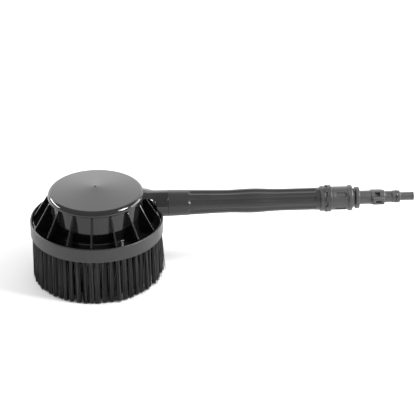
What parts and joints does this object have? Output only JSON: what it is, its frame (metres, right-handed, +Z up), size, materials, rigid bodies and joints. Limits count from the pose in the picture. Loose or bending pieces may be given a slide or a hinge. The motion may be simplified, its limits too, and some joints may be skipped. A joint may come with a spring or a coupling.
{
  "type": "rotary wash brush",
  "caption": "Water-driven rotary wash brush: a finned bell with a ring of bristle tufts spins under a fixed cap on a long fluted handle with a bayonet adapter.",
  "frame": {"origin": "on the brush's spin axis, in the plane of the bristle tips", "axes": "+X along the handle towards the bayonet, +Z up the spin axis, away from the bristles"},
  "size_m": [0.4643, 0.16, 0.1159],
  "materials": {
    "cap_plastic": "glossy black moulded cap and socket",
    "rotor_plastic": "glossy black moulded bell and fins",
    "ring_plastic": "satin black moulded ring",
    "grip_plastic": "satin black moulded grip",
    "coupling_plastic": "satin black glass-filled plastic",
    "adapter_plastic": "dark grey-black glass-filled plastic",
    "bristle": "black nylon filament tufts",
    "inner_plastic": "black moulded plastic inside",
    "seal_rubber": "black rubber O-rings",
    "screw_steel": "stainless screws, washers and nut",
    "nozzle_brass": "turned brass jets",
    "bush_acetal": "white acetal bearing bush"
  },
  "bodies": {
    "body": {"cap_cover": "cap_plastic", "socket_lower": "cap_plastic", "socket_screws": "screw_steel", "water_elbow": "inner_plastic", "duct_seal": "seal_rubber", "elbow_seal": "seal_rubber", "water_tube": "inner_plastic", "grip": "grip_plastic", "grip_collar": "coupling_plastic", "lock_ring": "coupling_plastic", "coupling_body": "coupling_plastic", "coupling_seal": "seal_rubber", "spindle": "inner_plastic", "spindle_seal": "seal_rubber", "spindle_screws": "screw_steel", "spindle_nut": "screw_steel", "jet_nozzles": "nozzle_brass", "washer_upper": "screw_steel", "washer_lower": "screw_steel"},
    "rotor": {"rotor_bell": "rotor_plastic", "bell_fins": "rotor_plastic", "bearing_bush": "bush_acetal", "vane_ring": "inner_plastic", "vane_screws": "screw_steel", "brush_ring": "ring_plastic", "tufts_outer": "bristle", "tufts_middle": "bristle", "tufts_inner": "bristle"},
    "adapter": {"bayonet_adapter": "adapter_plastic", "stem_seal": "seal_rubber", "tip_seal": "seal_rubber"}
  },
  "joints": [
    {"name": "brush_spin", "type": "hinge", "parent": "body", "child": "rotor", "pos_m": [0, 0, 0.07], "axis": [0, 0, 1], "continuous": true},
    {"name": "adapter_twist", "type": "hinge", "parent": "body", "child": "adapter", "pos_m": [0.3105, 0, 0.0905], "axis": [1, 0, 0], "range_deg": [0, 60]}
  ]
}
